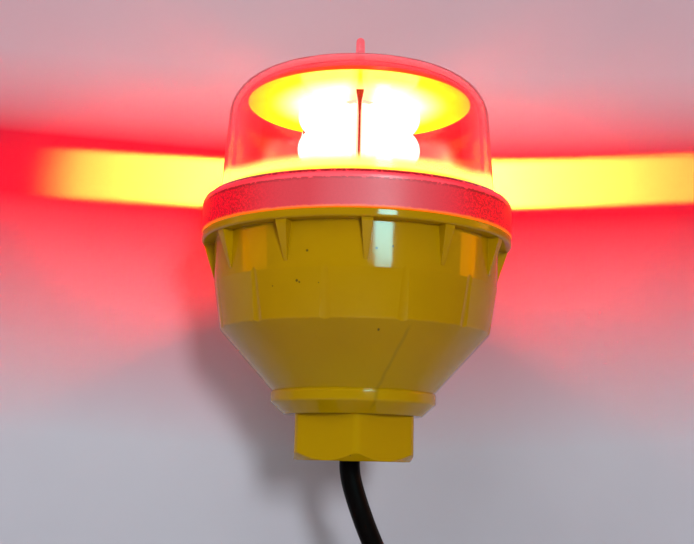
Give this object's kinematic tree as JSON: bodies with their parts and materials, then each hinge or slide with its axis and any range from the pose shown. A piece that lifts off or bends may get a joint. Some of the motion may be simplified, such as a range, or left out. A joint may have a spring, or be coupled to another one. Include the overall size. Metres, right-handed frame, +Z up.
{
  "type": "led warning beacon",
  "caption": "Steady red LED warning beacon: a clear screw-on dome with a bird spike on a ribbed yellow base, with a hexagonal pipe socket and a cable out of its middle.",
  "frame": {"origin": "centre of the hexagonal boss's flat bottom face, where the lamp sits on its pipe", "axes": "+Z up along the lamp's axis to the spike; a hexagon corner and a rib face -Y; the hexagon's flats face +X and -X"},
  "size_m": [0.13, 0.13, 0.358],
  "materials": {
    "yellow_housing": "moulded yellow, satin gloss",
    "dome_clear": "clear polycarbonate with a frosted skirt",
    "silicone": "matte red silicone",
    "black_nylon": "moulded nylon",
    "black_rubber": "satin black rubber sheath",
    "cable_black": "satin black rubber sheath",
    "tie_black": "woven hook-and-loop strap",
    "core_brown": "PVC insulation",
    "core_blue": "PVC insulation",
    "core_green_yellow": "green and yellow PVC insulation",
    "tinned_copper": "tinned",
    "circuit_board": "green solder mask",
    "brass": "plain",
    "steel": "zinc plated",
    "green_nylon": "moulded nylon",
    "fuse_red": "moulded",
    "varistor_blue": "dipped epoxy",
    "capacitor_yellow": "moulded box",
    "ferrite": "matte grey",
    "copper_wire": "enamelled copper",
    "black_epoxy": "moulded epoxy",
    "capacitor_sleeve": "shrink sleeve with a bare top",
    "polyester_tape": "yellow tape",
    "white_nylon": "moulded nylon",
    "wire_red": "PVC insulation",
    "wire_black": "PVC insulation",
    "aluminium": "brushed",
    "reflector_white": "glossy white, lit by the LEDs",
    "thermal_pad": "soft grey-blue silicone",
    "heat_sink": "black anodised",
    "led_board_white": "white solder mask",
    "led_emitter": "lit red LEDs",
    "lens_holder": "white",
    "lens_clear": "clear acrylic, lit"
  },
  "bodies": {
    "base": {"base_housing": "yellow_housing", "gland_gasket": "black_rubber", "gland_body": "black_nylon", "gland_locknut": "black_nylon", "gland_seal": "black_rubber", "gland_cap": "black_nylon", "cable_inner": "cable_black", "core_brown": "core_brown", "core_blue": "core_blue", "core_earth": "core_green_yellow", "driver_board": "circuit_board", "board_standoffs": "brass", "driver_screws": "steel", "input_terminal": "green_nylon", "terminal_screws": "steel", "fuse": "fuse_red", "varistor": "varistor_blue", "filter_capacitor": "capacitor_yellow", "choke_core": "ferrite", "choke_winding": "copper_wire", "bridge_rectifier": "black_epoxy", "bulk_capacitor": "capacitor_sleeve", "transformer_core": "ferrite", "transformer_winding": "polyester_tape", "driver_chip": "black_epoxy", "output_capacitors": "capacitor_sleeve", "led_connector": "white_nylon", "led_lead_red": "wire_red", "led_lead_black": "wire_black", "chassis_plate": "aluminium", "chassis_screws": "steel", "reflector_tray": "reflector_white", "tray_screws": "steel", "thermal_pad": "thermal_pad", "heat_sink": "heat_sink", "heat_sink_screws": "steel", "led_boards": "led_board_white", "led_board_screws": "steel", "led_packages": "led_emitter", "lens_holders": "lens_holder", "led_lenses": "lens_clear", "reflector_disc": "reflector_white", "disc_screw": "steel", "cable_tail": "cable_black", "cable_coil": "cable_black", "coil_tie": "tie_black", "cable_end": "cable_black", "end_core_brown": "core_brown", "end_core_blue": "core_blue", "end_core_earth": "core_green_yellow", "end_ferrules": "tinned_copper"},
    "seal": {"dome_gasket": "silicone"},
    "dome": {"dome_lens": "dome_clear"}
  },
  "joints": [
    {"name": "dome_lift", "type": "slide", "parent": "base", "child": "seal", "axis": [0, 0, 1], "range_m": [0, 0.012]},
    {"name": "dome_turn", "type": "hinge", "parent": "seal", "child": "dome", "pos_m": [0, 0, 0.1], "axis": [0, 0, 1], "range_deg": [0, 720]}
  ],
  "couplings": [
    {"joint": "dome_lift", "follows": "dome_turn", "m_per_rad": 0.00095492}
  ]
}
